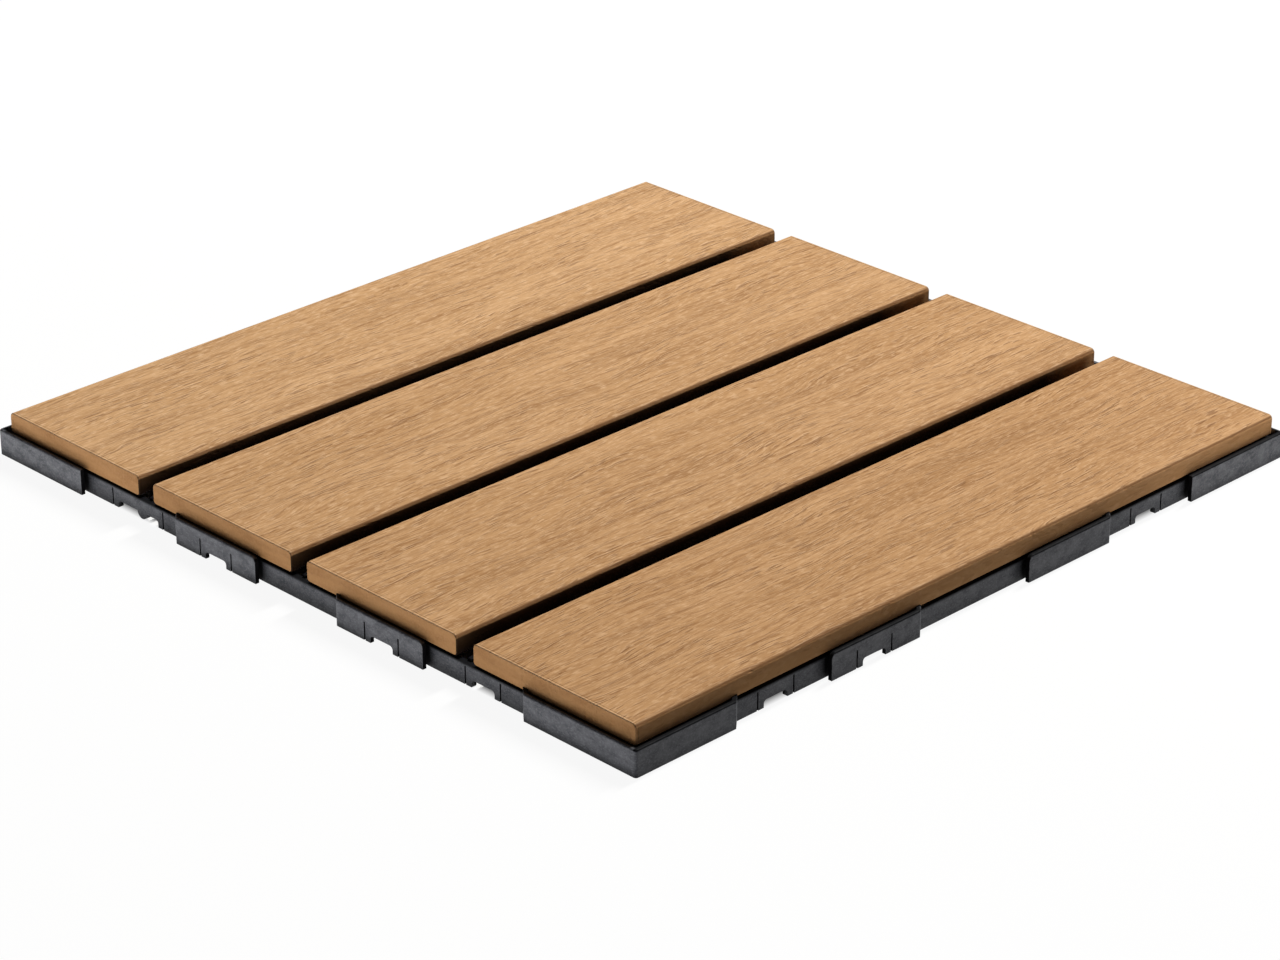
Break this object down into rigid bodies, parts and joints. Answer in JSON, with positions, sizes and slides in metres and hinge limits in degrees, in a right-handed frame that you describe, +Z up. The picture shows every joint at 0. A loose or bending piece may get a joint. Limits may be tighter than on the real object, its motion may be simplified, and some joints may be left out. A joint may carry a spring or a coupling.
{
  "type": "interlocking deck tile",
  "caption": "Square outdoor floor tile: flat composite slats screwed to a moulded plastic grid base with interlocking edges.",
  "frame": {"origin": "on the ground, under the middle of the four slats", "axes": "+Z up; the slats run along Y; +X and -Y are the two edges with open lips, -X and +Y the two edges with catches"},
  "size_m": [0.3028, 0.3028, 0.015],
  "materials": {
    "base_plastic": "satin dark grey moulded polypropylene",
    "slat_composite": "matt tan wood-plastic composite with an embossed grain",
    "screw_steel": "zinc-plated steel"
  },
  "bodies": {
    "root": {"base": "base_plastic", "slat_1": "slat_composite", "slat_2": "slat_composite", "slat_3": "slat_composite", "slat_4": "slat_composite", "slat_screws": "screw_steel"}
  },
  "joints": []
}
